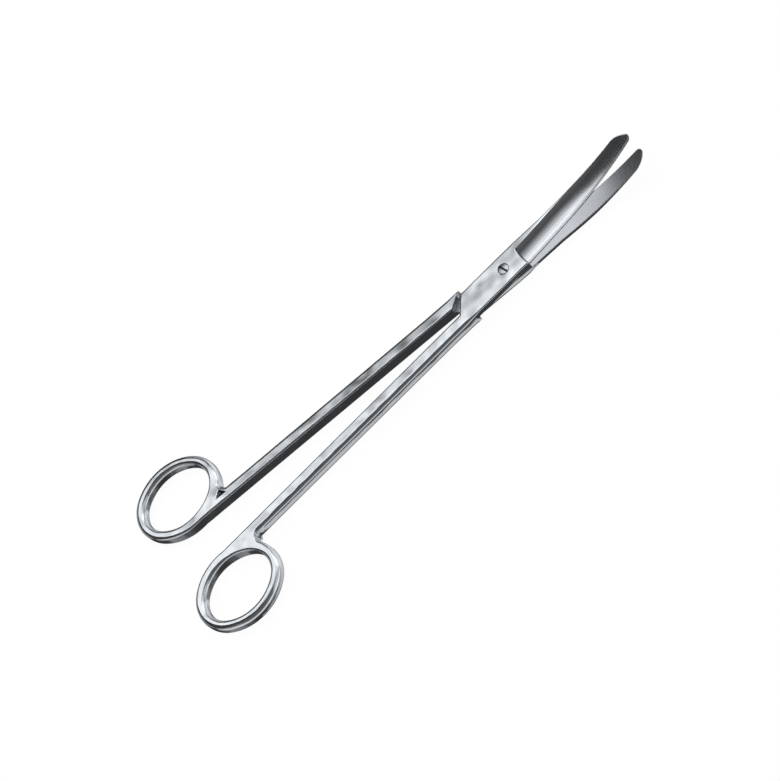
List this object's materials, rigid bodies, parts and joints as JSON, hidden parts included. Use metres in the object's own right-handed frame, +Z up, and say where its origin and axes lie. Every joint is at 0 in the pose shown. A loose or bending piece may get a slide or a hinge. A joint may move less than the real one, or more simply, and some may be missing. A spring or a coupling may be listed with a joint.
{
  "type": "surgical scissors",
  "caption": "Long-handled curved surgical scissors of stainless steel with finger rings, a screwed lap joint and blunt tips.",
  "frame": {"origin": "on the pivot axis, at the flat underside of the joint, which is the surface that the scissors lie on", "axes": "+Z up along the pivot axis towards the screw head, +Y towards the tips, +X towards the ring of the upper half"},
  "size_m": [0.0688, 0.1999, 0.0077],
  "materials": {
    "stainless_steel": "satin polish",
    "screw_steel": "turned and polished"
  },
  "bodies": {
    "lower": {"lower_half": "stainless_steel", "joint_screw": "screw_steel"},
    "upper": {"upper_half": "stainless_steel"}
  },
  "joints": [
    {"name": "blade_hinge", "type": "hinge", "parent": "lower", "child": "upper", "pos_m": [0, 0, 0.00232], "axis": [0, 0, 1], "range_deg": [-6.3, 110]}
  ]
}
